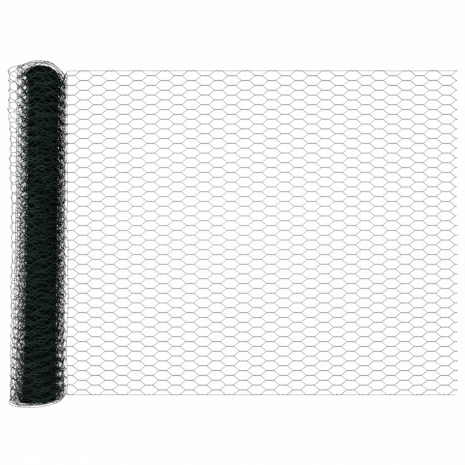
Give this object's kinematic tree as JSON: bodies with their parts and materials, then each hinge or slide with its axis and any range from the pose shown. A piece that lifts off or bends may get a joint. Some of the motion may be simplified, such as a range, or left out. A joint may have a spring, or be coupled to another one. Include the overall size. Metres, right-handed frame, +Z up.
{
  "type": "roll of chicken wire",
  "caption": "Roll of dark coated hexagonal wire netting standing on end, with loose outer turns and its free end drawn out flat.",
  "frame": {"origin": "where the axis of the roll's bore meets the floor", "axes": "+Z up along the bore, +X along the free end from the roll to the cut edge, +Y to the back, where the netting peels off the roll"},
  "size_m": [1.3699, 0.164, 1],
  "materials": {
    "coated_wire": "satin plastic coating over steel wire"
  },
  "bodies": {
    "root": {"roll": "coated_wire", "lead_out": "coated_wire", "stretch_near": "coated_wire", "stretch_middle": "coated_wire", "stretch_end": "coated_wire"}
  },
  "joints": []
}
